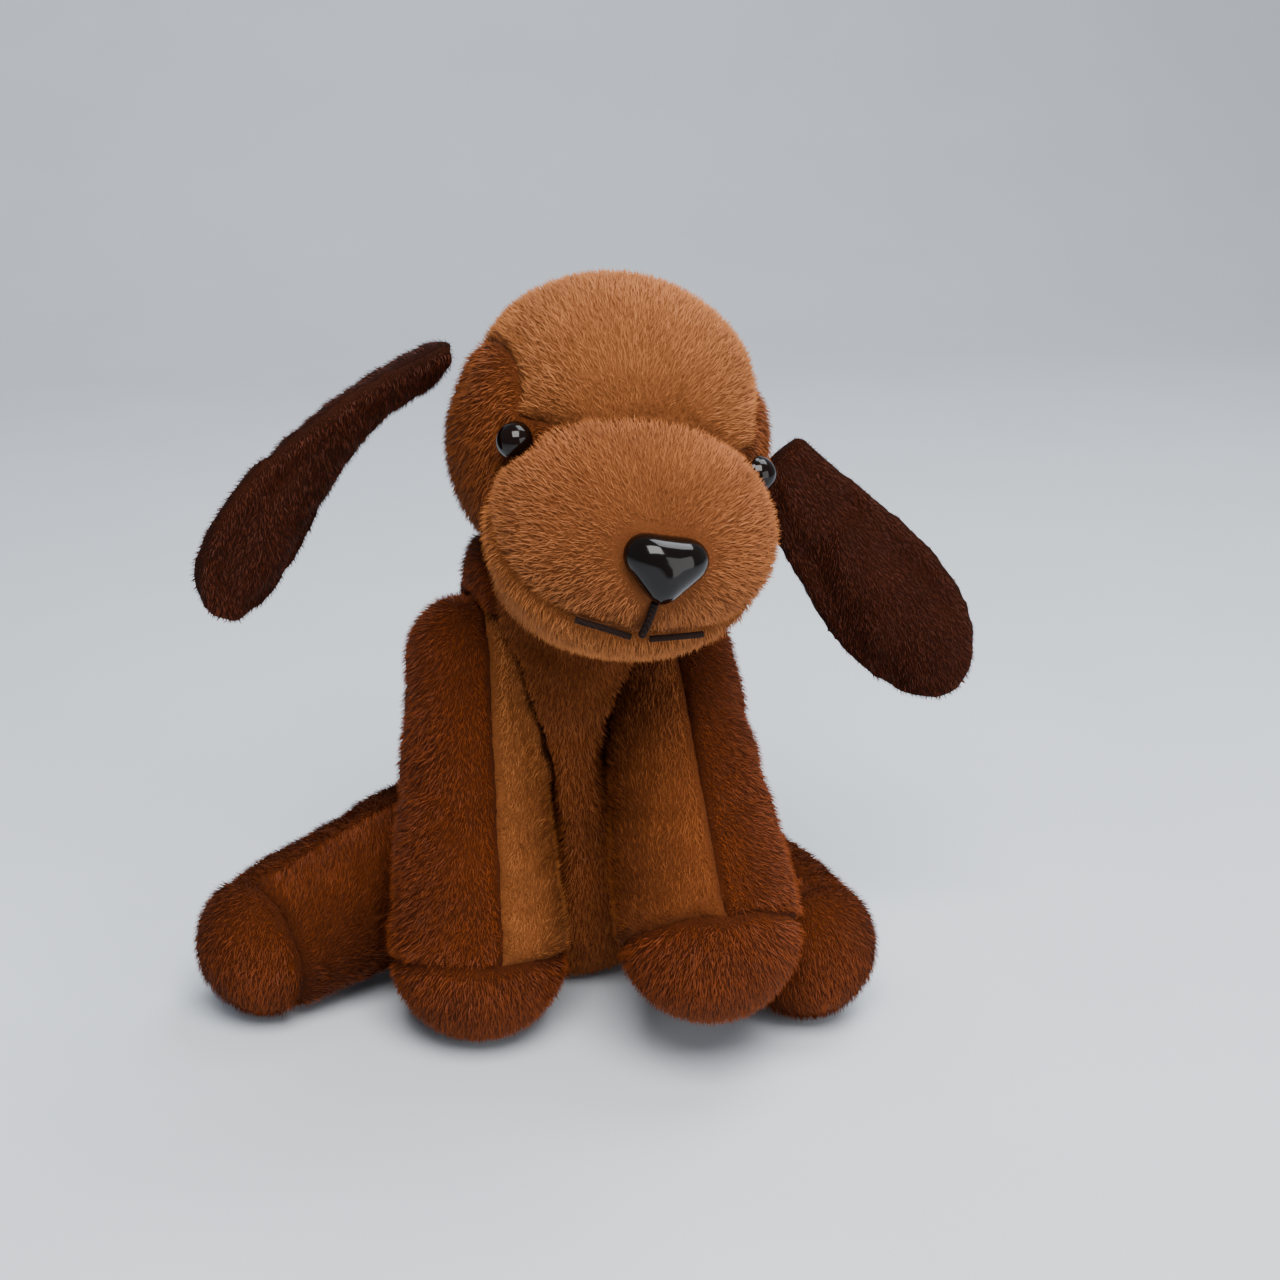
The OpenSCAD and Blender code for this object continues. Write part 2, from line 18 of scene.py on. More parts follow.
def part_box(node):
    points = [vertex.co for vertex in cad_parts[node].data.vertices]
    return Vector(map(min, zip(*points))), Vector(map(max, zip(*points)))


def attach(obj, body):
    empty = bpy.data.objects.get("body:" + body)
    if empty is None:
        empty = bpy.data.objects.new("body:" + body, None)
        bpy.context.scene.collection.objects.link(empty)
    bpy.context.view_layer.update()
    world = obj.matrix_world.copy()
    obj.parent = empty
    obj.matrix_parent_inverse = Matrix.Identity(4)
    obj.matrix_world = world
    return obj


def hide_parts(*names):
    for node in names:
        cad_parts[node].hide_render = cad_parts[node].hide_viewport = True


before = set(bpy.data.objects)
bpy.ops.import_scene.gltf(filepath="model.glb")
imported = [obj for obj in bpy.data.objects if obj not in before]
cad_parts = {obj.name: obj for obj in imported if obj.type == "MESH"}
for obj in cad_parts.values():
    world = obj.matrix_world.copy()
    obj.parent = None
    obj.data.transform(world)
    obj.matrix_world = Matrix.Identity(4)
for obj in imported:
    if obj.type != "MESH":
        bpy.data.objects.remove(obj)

MM = 0.001
for name in ("Cube", "Light", "Camera"):
    if name in bpy.data.objects:
        bpy.data.objects.remove(bpy.data.objects[name])
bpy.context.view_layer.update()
chance = np.random.default_rng(11)

# %% [markdown]
# ## The pattern
#
# Each stuffed form is sewn from a few panels and shut round its own filling. The table says
# which CAD nodes make up a form, and which of them are fabric. A form could be modelled again
# by hand, but a seam would then drift away from the CAD, so the fabric grows from the nodes.

# %% The stuffed forms and their panels
LEGS = ["foreleg_left", "foreleg_right", "hindleg_left", "hindleg_right"]
FORMS = {
    "torso": (["torso_side_left", "torso_side_right", "belly_panel"],
              ["torso_stuffing", "chest_stuffing"]),
    "head": (["forehead_panel", "head_side_left", "head_side_right",
              "muzzle_panel", "chin_panel"],
             ["head_stuffing"]),
    "ear_left": (["ear_left_front", "ear_left_back"], []),
    "ear_right": (["ear_right_front", "ear_right_back"], []),
    "tail": (["tail_left", "tail_right"], ["tail_stuffing"]),
}
for leg in LEGS:
    FORMS[leg] = ([leg + "_outer", leg + "_inner", leg + "_sole"], [leg + "_stuffing"])
print(len(FORMS), "forms,", sum(len(p) for p, _ in FORMS.values()), "fabric panels")


def node_mesh(node):
    """The corner points and triangles of a CAD node."""
    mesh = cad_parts[node].data
    points = np.empty(len(mesh.vertices) * 3)
    mesh.vertices.foreach_get("co", points)
    mesh.calc_loop_triangles()
    corners = np.empty(len(mesh.loop_triangles) * 3, np.int32)
    mesh.loop_triangles.foreach_get("vertices", corners)
    return points.reshape(-1, 3), corners.reshape(-1, 3)


def tree_of(points, faces):
    return BVHTree.FromPolygons([tuple(p) for p in points], [tuple(f) for f in faces])


panel_trees = {}
for panels, fillings in FORMS.values():
    for panel in panels:
        panel_trees[panel] = tree_of(*node_mesh(panel))

# %% [markdown]
# ## One soft skin per form
#
# The panels of a form meet face to face, and a fresh skin has to run over them without a
# break. Shrink-wrapping a ball would lose the hollows round the eyes, so the nodes are joined
# and remeshed as one level set, and lightly smoothed without shrinking.

# %% Join, remesh and smooth
def build_mesh(name, points, faces):
    mesh = bpy.data.meshes.new(name)
    mesh.from_pydata([tuple(p) for p in points], [], [tuple(f) for f in faces])
    mesh.update()
    return mesh


def evaluated(obj):
    graph = bpy.context.evaluated_depsgraph_get()
    return bpy.data.meshes.new_from_object(obj.evaluated_get(graph))


def quads_of(mesh):
    points = np.empty(len(mesh.vertices) * 3)
    mesh.vertices.foreach_get("co", points)
    faces = np.empty(len(mesh.loops), np.int32)
    mesh.loops.foreach_get("vertex_index", faces)
    return points.reshape(-1, 3), faces.reshape(-1, 4)


def edges_of(faces):
    corners = faces.shape[1]
    pairs = np.concatenate([faces[:, [i, (i + 1) % corners]] for i in range(corners)])
    return np.unique(np.sort(pairs, axis=1), axis=0)


def neighbour_mean(values, edges, count):
    total = np.zeros((count, values.shape[1]))
    degree = np.zeros(count)
    for a, b in ((0, 1), (1, 0)):
        np.add.at(total, edges[:, a], values[edges[:, b]])
        np.add.at(degree, edges[:, a], 1)
    return total / np.maximum(degree, 1)[:, None]


def smooth(points, edges, rounds, push=0.5, pull=-0.52):
    for step in range(rounds * 2):
        share = push if step % 2 == 0 else pull
        points = points + share * (neighbour_mean(points, edges, len(points)) - points)
    return points


def largest_island(points, faces):
    mark = np.arange(len(points))
    edges = edges_of(faces)
    while True:
        low = np.minimum(mark[edges[:, 0]], mark[edges[:, 1]])
        fresh = mark.copy()
        np.minimum.at(fresh, edges[:, 0], low)
        np.minimum.at(fresh, edges[:, 1], low)
        fresh = fresh[fresh]
        if (fresh == mark).all():
            break
        mark = fresh
    names, counts = np.unique(mark, return_counts=True)
    keep = mark == names[counts.argmax()]
    index = np.cumsum(keep) - 1
    return points[keep], index[faces[keep[faces[:, 0]]]]


def normals_of(points, faces):
    a, b, c, d = (points[faces[:, i]] for i in range(4))
    across = np.cross(c - a, d - b)
    total = np.zeros_like(points)
    for i in range(4):
        np.add.at(total, faces[:, i], across)
    return total / np.maximum(np.linalg.norm(total, axis=1), 1e-12)[:, None]


VOXEL = {"ear_left": 1.5 * MM, "ear_right": 1.5 * MM, "tail": 1.5 * MM, "head": 1.9 * MM}
VOXEL_ELSEWHERE = 2.0 * MM
SMOOTHING_ROUNDS = 4
skins = {}
for form, (panels, fillings) in FORMS.items():
    points, faces, start = [], [], 0
    for node in panels + fillings:
        p, f = node_mesh(node)
        points.append(p)
        faces.append(f + start)
        start += len(p)
    joined = build_mesh(form, np.concatenate(points), np.concatenate(faces))
    obj = bpy.data.objects.new(form, joined)
    bpy.context.collection.objects.link(obj)
    remesh = obj.modifiers.new("remesh", "REMESH")
    remesh.mode = "VOXEL"
    remesh.voxel_size = VOXEL.get(form, VOXEL_ELSEWHERE)
    points, faces = largest_island(*quads_of(evaluated(obj)))
    bpy.data.objects.remove(obj)
    points = smooth(points, edges_of(faces), SMOOTHING_ROUNDS)
    skins[form] = (points, faces)
    print(form, len(points), "points", len(faces), "faces")


# %% [markdown]
# ## Where the seams run
#
# A seam is where two panels are equally near. Every skin point knows its distance to each
# panel, so the seam is found by marching across the triangles where the nearest panel changes.
# Painting seams on by hand would be quicker to start, but it wouldn't follow a changed pattern.

# %% Label the skin and trace its seams
SEAM_STEP = 0.3 * MM


def panel_distances(points, panels):
    found = np.empty((len(points), len(panels)))
    for k, panel in enumerate(panels):
        find = panel_trees[panel].find_nearest
        found[:, k] = [find(p)[3] for p in points]
    return found


def triangles_of(faces):
    return np.concatenate([faces[:, [0, 1, 2]], faces[:, [0, 2, 3]]])


def seam_points(points, faces, away, label):
    """Points along every line where the nearest panel changes."""
    runs = []
    corner_sets = triangles_of(faces)
    marks = np.sort(label[corner_sets], axis=1)
    steps = (np.diff(marks, axis=1) != 0).sum(1)
    for corners, mark in zip(corner_sets[steps == 1], marks[steps == 1]):
        one, two = mark[0], mark[2]
        gap = away[corners, one] - away[corners, two]
        ends = []
        for i in range(3):
            j = (i + 1) % 3
            if label[corners[i]] != label[corners[j]]:
                share = gap[i] / (gap[i] - gap[j])
                ends.append(points[corners[i]] * (1 - share) + points[corners[j]] * share)
        length = np.linalg.norm(ends[1] - ends[0])
        along = np.linspace(0, 1, max(2, int(length / SEAM_STEP) + 1))[:, None]
        runs.append(ends[0] * (1 - along) + ends[1] * along)
    return np.concatenate(runs)


def nearest_in(points, targets):
    """The nearest target of each point, and how far it is."""
    tree = KDTree(len(targets))
    for i, p in enumerate(targets):
        tree.insert(p, i)
    tree.balance()
    found = [tree.find(p) for p in points]
    return np.array([f[1] for f in found]), np.array([f[2] for f in found])


def clearance(points, form):
    """How far each point is from the skins of the other forms."""
    least = np.full(len(points), 1.0)
    for other, (p, f) in skins.items():
        if other == form:
            continue
        low, high = p.min(0) - 6 * MM, p.max(0) + 6 * MM
        near = ((points > low) & (points < high)).all(1)
        if near.any():
            find = tree_of(p, f).find_nearest
            least[near] = np.minimum(least[near], [find(q)[3] for q in points[near]])
    return least


# %% [markdown]
# ## Room for the pile
#
# The CAD surface is where the fibre tips end, so the cloth that the pile grows on lies a
# little further in. Where a leg sits in its socket the CAD fabric is cut away, and the cloth
# has to stay outside the filling, or the white would show. One inset for all would be simpler.

# %% Set the skins in, but never into a filling
PILE_DEPTH = 0.75 * MM
FILLING_COVER = 1.0 * MM
FILLING_REACH = 4 * MM
INSET_ROUNDS = 3
filling_trees = {}
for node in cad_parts:
    if node.endswith("_stuffing"):
        filling_trees[node] = tree_of(*node_mesh(node))


def height_over_filling(points):
    """How far each point stands above the nearest filling, negative inside it."""
    least = np.full(len(points), 1.0)
    for find in (tree.find_nearest for tree in filling_trees.values()):
        for i, p in enumerate(points):
            spot, facing, _, away = find(p, FILLING_REACH)
            if spot is not None:
                side = -1 if (Vector(p) - spot).dot(facing) < 0 else 1
                least[i] = min(least[i], side * away)
    return least


room = {}
for form, (points, faces) in skins.items():
    panels = FORMS[form][0]
    away = panel_distances(points, panels)
    line = seam_points(points, faces, away, away.argmin(1))
    index, distance = nearest_in(points, line)
    room[form] = (distance, clearance(points, form))
    closest = room[form][1].min() / MM
    print(form, "seam points", len(line), "closest neighbour mm", round(closest, 2))
for form, (points, faces) in skins.items():
    deep = np.clip(height_over_filling(points) - FILLING_COVER, -FILLING_COVER, PILE_DEPTH)
    for _ in range(INSET_ROUNDS):
        deep = np.minimum(deep, neighbour_mean(deep[:, None], edges_of(faces), len(points))[:, 0])
    skins[form] = (points - normals_of(points, faces) * deep[:, None], faces)
    print(form, "lies in by mm", round(deep.min() / MM, 2), "to", round(deep.max() / MM, 2))

# %% [markdown]
# ## Filling the skin
#
# A sewn panel is held at its seams and swells between them. Each skin becomes cloth with the
# seams pinned, starts a little slack, and is blown up with pressure. Scaling by normals alone
# would swell a paw as much as a flat flank, but cloth swells most where a panel is widest.
# The fabric near another form is pinned too, and the move is capped, so nothing grows together.

# %% Blow the skins up as cloth
CLOTH_SCALE = 10
SWELL_CAP = 1.6 * MM
SLACK = 0.35 * MM
FRAMES = 16
SEWN_WITHIN = 1.2 * MM
TOUCHING_WITHIN = 3.2 * MM
PRESSURE = 20
GROWTH = 0.06


def swollen_skins():
    scene = bpy.context.scene
    scene.frame_start, scene.frame_end = 1, FRAMES
    actors = {}
    for form, (points, faces) in skins.items():
        distance, gap = room[form]
        slack = SLACK * np.clip(distance / (4 * MM), 0, 1)
        slack *= np.clip(gap / TOUCHING_WITHIN - 1, 0, 1)
        start = points - normals_of(points, faces) * slack[:, None]
        mesh = build_mesh("swell", start * CLOTH_SCALE, faces)
        obj = bpy.data.objects.new("swell_" + form, mesh)
        scene.collection.objects.link(obj)
        group = obj.vertex_groups.new(name="sewn")
        held = np.flatnonzero((distance < SEWN_WITHIN) | (gap < TOUCHING_WITHIN))
        group.add([int(i) for i in held], 1.0, "REPLACE")
        cloth = obj.modifiers.new("cloth", "CLOTH")
        cloth.settings.quality = 4
        cloth.settings.mass = 0.1
        cloth.settings.shrink_min = -GROWTH
        cloth.settings.tension_stiffness = 8
        cloth.settings.compression_stiffness = 8
        cloth.settings.shear_stiffness = 2
        cloth.settings.bending_stiffness = 0.5
        cloth.settings.use_pressure = True
        cloth.settings.uniform_pressure_force = PRESSURE
        cloth.settings.effector_weights.gravity = 0
        cloth.settings.vertex_group_mass = "sewn"
        cloth.collision_settings.use_collision = False
        cloth.collision_settings.use_self_collision = False
        cloth.point_cache.frame_start, cloth.point_cache.frame_end = 1, FRAMES
        actors[form] = obj
    for step in range(1, FRAMES + 1):
        scene.frame_set(step)
    result = {}
    for form, obj in actors.items():
        points, faces = skins[form]
        moved = quads_of(evaluated(obj))[0] / CLOTH_SCALE
        move = moved - points
        size = np.linalg.norm(move, axis=1)
        print(form, "swells by up to", round(size.max() / MM, 2), "mm, typically",
              round(np.median(size) / MM, 2), "mm")
        move *= (np.minimum(size, SWELL_CAP) / np.maximum(size, 1e-9))[:, None]
        result[form] = (smooth(points + move, edges_of(faces), 1), faces)
        bpy.data.objects.remove(obj)
    scene.frame_set(1)
    return result


skins = swollen_skins()


# %% [markdown]
# ## Seams, gathers and panels
#
# A machine seam pulls the fabric in, so it lies in a groove, and the slack between stitches
# stands up in small gathers. The skin is subdivided once, its edge points are moved onto the
# seam line, and the groove is pushed in. Cutting first and bending later would open gaps.

# %% Subdivide, label again and sink the seams
from mathutils import noise

GROOVE_DEPTH = 0.55 * MM
GROOVE_WIDTH = 0.95 * MM
GATHER_HEIGHT = 0.5 * MM
GATHER_PITCH = 3.1 * MM
GATHER_REACH = 2.6 * MM
SNAP_WITHIN = 1.4 * MM
SKIN_GAP = 1.0 * MM


def subdivided(points, faces):
    obj = bpy.data.objects.new("fine", build_mesh("fine", points, faces))
    bpy.context.collection.objects.link(obj)
    obj.modifiers.new("fine", "SUBSURF").levels = 1
    result = quads_of(evaluated(obj))
    bpy.data.objects.remove(obj)
    return result


def wavering(points, pitch, seed):
    """Soft noise from -1 to 1 at each point."""
    offset = Vector((seed * 17.3, seed * 5.1, seed * 9.7))
    return np.array([noise.noise(Vector(p) / pitch + offset) for p in points])


def lining_dish(form, points, away, distance):
    """The lining of an ear sinks between its rolled edges, and wrinkles lengthwise."""
    front = away[:, 0] < away[:, 1]
    sunk = np.clip((distance - 1.5 * MM) / (3.5 * MM), 0, 1)
    sunk = sunk * sunk * (3 - 2 * sunk)
    grain = points * (1.0, 1.0, 0.35)
    wrinkle = wavering(grain, 5.5 * MM, 4)
    return np.where(front, sunk * (1.3 * MM + 0.8 * MM * wrinkle), 0.35 * MM * sunk * wrinkle)


fine = {}
for form, (points, faces) in skins.items():
    panels = FORMS[form][0]
    points, faces = subdivided(points, faces)
    away = panel_distances(points + normals_of(points, faces) * PILE_DEPTH, panels)
    line = seam_points(points, faces, away, away.argmin(1))
    face_label = away[faces].sum(1).argmin(1)
    index, distance = nearest_in(points, line)
    on_seam = np.zeros(len(points), bool)
    for k in range(len(panels)):
        mine = np.zeros(len(points), bool)
        mine[faces[face_label == k]] = True
        others = np.zeros(len(points), bool)
        others[faces[face_label != k]] = True
        on_seam |= mine & others
    close = on_seam & (distance < SNAP_WITHIN)
    points[close] = line[index[close]]
    distance[close] = 0
    normal = normals_of(points, faces)
    gather = np.zeros(len(points))
    band = distance < 3 * GATHER_REACH
    gather[band] = wavering(line[index[band]], GATHER_PITCH, 1)
    drop = GROOVE_DEPTH * np.exp(-(distance / GROOVE_WIDTH) ** 2)
    beside = np.exp(-((distance - GROOVE_WIDTH) / GATHER_REACH) ** 2)
    rise = GATHER_HEIGHT * np.maximum(gather, 0) * beside
    gap = clearance(points, form)
    rise = np.where(gap < 3 * MM, 0, rise) - np.clip(SKIN_GAP - gap, 0, 1)
    if form.startswith("ear"):
        drop, rise = drop * 0.4, rise * 0.3
        rise -= lining_dish(form, points, away, distance)
    points = points + normal * (rise - drop)[:, None]
    parting = points - line[index]
    fine[form] = dict(points=points, faces=faces, label=face_label, distance=distance,
                      parting=parting, gap=gap)
    print(form, len(points), "points,", len(line), "seam points")


# %% [markdown]
# ## Shader maths
#
# Plush is not one brown. Its colour depends on the height up the fibre, where dark roots
# are painted shade deep in the pile, on each fibre and on how the pile was stroked. A small
# class wraps a shader socket, so these masks can be written as plain sums and products, and
# every other node comes from one method.

# %% A socket that can be added and multiplied
class Signal:
    """A number or colour that runs through a material's nodes."""

    def __init__(self, paint, socket):
        self.paint = paint
        self.socket = socket

    def maths(self, operation, *values):
        inputs = {i: v for i, v in enumerate(values)}
        return self.paint.node("ShaderNodeMath", {"operation": operation}, inputs)

    def __add__(self, other):
        return self.maths("ADD", self, other)

    __radd__ = __add__

    def __sub__(self, other):
        return self.maths("SUBTRACT", self, other)

    def __rsub__(self, other):
        return self.maths("SUBTRACT", other, self)

    def __mul__(self, other):
        return self.maths("MULTIPLY", self, other)

    __rmul__ = __mul__

    def clamped(self, low=0.0, high=1.0):
        return self.maths("MINIMUM", self.maths("MAXIMUM", self, low), high)


class Paint:
    """One material and the nodes in it."""

    def __init__(self, name, **shader):
        self.material = bpy.data.materials.new(name)
        self.material.use_nodes = True
        self.tree = self.material.node_tree
        self.tree.nodes.clear()
        self.shader = self.tree.nodes.new("ShaderNodeBsdfPrincipled")
        out = self.tree.nodes.new("ShaderNodeOutputMaterial")
        self.tree.links.new(self.shader.outputs[0], out.inputs["Surface"])
        for socket, value in shader.items():
            self.shader.inputs[socket.replace("_", " ")].default_value = value

    def feed(self, socket, value):
        if isinstance(value, Signal):
            self.tree.links.new(value.socket, socket)
        else:
            socket.default_value = value

    def node(self, kind, settings=None, inputs=None, output=0):
        made = self.tree.nodes.new(kind)
        for name, value in (settings or {}).items():
            setattr(made, name, value)
        for name, value in (inputs or {}).items():
            self.feed(made.inputs[name], value)
        return Signal(self, made.outputs[output])

    def surface(self, **sockets):
        for name, value in sockets.items():
            self.feed(self.shader.inputs[name.replace("_", " ")], value)
        return self.material

    def place(self):
        return self.node("ShaderNodeTexCoord", output="Object")

    def cloud(self, pitch, detail=2.0, rough=0.5):
        """Noise from 0 to 1 with lumps about one pitch across, in metres."""
        return self.node("ShaderNodeTexNoise", None,
                         {"Vector": self.place(), "Scale": 1 / pitch, "Detail": detail,
                          "Roughness": rough})

    def attribute(self, name):
        return self.node("ShaderNodeAttribute", {"attribute_name": name}, output="Fac")

    def mix(self, share, one, two):
        """A colour between two. The Mix node's colour sockets are numbers 6 and 7, and out 2."""
        return self.node("ShaderNodeMix", {"data_type": "RGBA"},
                         {"Factor": share, 6: one, 7: two}, output=2)

    def bump(self, height, distance, strength=1.0):
        return self.node("ShaderNodeBump", None,
                         {"Height": height, "Distance": distance, "Strength": strength})


def colour(red, green, blue):
    """A screen colour from 0 to 255, made linear."""
    def linear(v):
        v /= 255
        return v / 12.92 if v <= 0.04045 else ((v + 0.055) / 1.055) ** 2.4
    return (linear(red), linear(green), linear(blue), 1.0)


# %% [markdown]
# ## The plush finishes
#
# The body is one brown plush. The light catches each panel's nap differently, and that light is
# painted into the colours: the crown and muzzle finishes are painted paler for the light from
# above, and the cheek, chest and nap finishes are paler copies of the coat plush, painted light
# that lifts the shade on the sides of the head, the belly, the chin and the inner forelegs. The
# ears are a darker plush. Each finish has two materials: the backing between the fibres, and the
# fibres, which are dark at the root and light at the tip; the dark roots and backing are painted
# shade deep in the pile.

# %% Backing and fibre materials
def plush(name, root, tip, light=0.5):
    """The backing and the fibre material of one finish."""
    backing = Paint(name + "_backing", Roughness=0.9, Specular_IOR_Level=0.1)
    weave = backing.cloud(0.45 * MM, 3.0, 0.7)
    patch = backing.cloud(9 * MM, 2.0)
    shade = (patch * 0.5 + weave * 0.6 - 0.1).clamped()
    # The backing runs from darker than the fibre roots to halfway up the fibre colour: painted
    # shade under the pile.
    backing.surface(
        Base_Color=backing.mix(shade, colour(*[v * 0.8 for v in root]),
                               colour(*[0.5 * (a + b) for a, b in zip(root, tip)])),
        Normal=backing.bump(weave, 0.25 * MM))
    fibre = Paint(name + "_fibre", Roughness=0.6, Sheen_Weight=0.08, Sheen_Roughness=0.4,
                  Specular_IOR_Level=0.14)
    fibre.shader.inputs["Sheen Tint"].default_value = colour(*[min(255, v * 1.25) for v in tip])
    along = fibre.attribute("along")
    tone = fibre.attribute("tone")
    stroke = fibre.cloud(8 * MM, 2.5)
    fleck = fibre.cloud(1.3 * MM, 1.0)
    # Dark at the root and light at the tip: painted shade deep in the pile, varied at random by
    # tone, stroke and fleck.
    height = (along * 0.75 + tone * 0.35 + (stroke - 0.5) * light + (fleck - 0.5) * 0.5).clamped()
    hue = fibre.mix(height, colour(*root), colour(*tip))
    fibre.surface(Base_Color=hue, Roughness=(0.72 - tone * 0.2).clamped())
    return backing.material, fibre.material


# Coat is the plush's own colour. Crown and muzzle are painted paler for the light from above;
# cheek, chest and nap are paler copies of it, painted light over shade. Ear and lining are darker
# plushes.
FINISHES = {
    "crown": plush("crown_plush_painted_top_light", (88, 45, 18), (184, 116, 66)),
    "muzzle": plush("muzzle_plush_painted_top_light", (80, 39, 15), (172, 105, 58)),
    "cheek": plush("cheek_plush_painted_light", (61, 25, 6), (140, 75, 31)),
    "chest": plush("chest_plush_painted_light", (66, 28, 8), (152, 84, 38)),
    "coat": plush("coat_plush", (42, 14, 1), (126, 58, 18)),
    "nap": plush("pale_plush_painted_light", (82, 40, 14), (186, 114, 60)),
    "ear": plush("ear_plush", (20, 4, 0), (68, 23, 4)),
    "lining": plush("ear_lining_plush", (24, 6, 0), (80, 31, 8)),
}
print(len(FINISHES), "plush finishes")

# %% [markdown]
# ## Cutting the panels apart
#
# A real panel is cloth with a back as well as a front. Each panel is therefore a closed shell:
# its outer face, the same face a third of a millimetre in, and a rim along the seam. A
# Solidify modifier would do the same, but it leaves the rim open to gaps at tight corners.

# %% Closed panel shells
CLOTH_THICKNESS = 0.3 * MM

# Forehead and muzzle wear the finishes with painted top light. The chin wears the nap finish and
# the belly the chest finish, paler copies of the coat with painted light over their shade.
FINISH_OF = {"forehead_panel": "crown", "muzzle_panel": "muzzle", "chin_panel": "nap",
             "head_side_left": "cheek", "head_side_right": "cheek",
             "torso_side_left": "coat", "torso_side_right": "coat", "belly_panel": "chest",
             "tail_left": "coat", "tail_right": "coat",
             "ear_left_front": "lining", "ear_right_front": "lining",
             "ear_left_back": "ear", "ear_right_back": "ear"}
for leg in LEGS:
    FINISH_OF[leg + "_outer"] = "coat"
    FINISH_OF[leg + "_inner"] = "coat"
    FINISH_OF[leg + "_sole"] = "coat"
# The inner forelegs lie in shade, so they wear the paler nap and chest copies: painted light that
# lifts that shade.
FINISH_OF["foreleg_right_inner"] = "nap"
FINISH_OF["foreleg_left_inner"] = "chest"


def new_object(name, mesh, material):
    obj = bpy.data.objects.new(name, mesh)
    bpy.context.collection.objects.link(obj)
    mesh.materials.append(material)
    return obj


def shell(points, normal, faces):
    """A closed shell from an open patch: outer faces, inner faces and a rim."""
    used = np.unique(faces)
    index = np.full(len(points), -1)
    index[used] = np.arange(len(used))
    outer = index[faces]
    count = len(used)
    inner = outer[:, ::-1] + count
    halves = np.concatenate([outer[:, [i, (i + 1) % 4]] for i in range(4)])
    keys = halves[:, 0].astype(np.int64) * count + halves[:, 1]
    back = halves[:, 1].astype(np.int64) * count + halves[:, 0]
    rim = halves[~np.isin(keys, back)]
    wall = np.stack([rim[:, 1], rim[:, 0], rim[:, 0] + count, rim[:, 1] + count], axis=1)
    spots = np.concatenate([points[used], points[used] - normal[used] * CLOTH_THICKNESS])
    return spots, np.concatenate([outer, inner, wall])


for form, skin in fine.items():
    skin["normal"] = normals_of(skin["points"], skin["faces"])
    for k, panel in enumerate(FORMS[form][0]):
        patch = skin["faces"][skin["label"] == k]
        mesh = build_mesh(panel + "_plush", *shell(skin["points"], skin["normal"], patch))
        mesh.shade_smooth()
        finish = FINISH_OF[panel]
        piece = new_object(panel + "_plush", mesh, FINISHES[finish][0])
        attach(piece, form)
        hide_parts(panel)
print("panels cut")

# %% [markdown]
# ## The pile
#
# The pile is short, soft and dense, and it gives the dog its outline. Hair curves would look
# the same here, but they are lost in the exported model. So each tuft is a small tapered blade
# of mesh. It leans the way its panel's nap was brushed, parts along the seams, and is shorter
# where two forms press together, as real pile is.

# %% Grow the pile
PILE_LENGTH = 1.9 * MM
EAR_PILE_LENGTH = 1.4 * MM
PILE_WIDTH = 0.2 * MM
PILE_PER_MM2 = 5.0
FLOOR_CLEARANCE = 0.05 * MM
hard_trees = [tree_of(*node_mesh(n)) for n in
              ("eye_left", "eye_right", "nose", "philtrum_stitch", "mouth_stitches")]


def middle(node):
    low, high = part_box(node)
    return np.array((low + high) / 2)


nose_at = middle("nose")
head_at = middle("head_stuffing")


def unit(v):
    return v / np.maximum(np.linalg.norm(v, axis=-1, keepdims=True), 1e-9)


def nap(panel, form, p):
    """The way the pile is brushed at each root, before it is laid on the surface."""
    down = np.tile((0.0, 0.15, -1.0), (len(p), 1))
    if panel == "muzzle_panel":
        return unit(p - nose_at) + (0, 0.2, 0)
    if panel == "forehead_panel":
        return unit(np.stack([(p - head_at)[:, 0] * 0.5, np.full(len(p), 0.03),
                              np.full(len(p), 0.006)], axis=1))
    if form.startswith("ear"):
        side = 1 if form == "ear_left" else -1
        return np.tile((0.6 * side, 0, -1.0), (len(p), 1))
    if form.startswith("hindleg"):
        out = p - middle(form + "_stuffing")
        down = unit(out) * 0.4 + np.array((0, -0.6, -0.8))
    if panel.endswith("_inner"):
        return -down
    return down


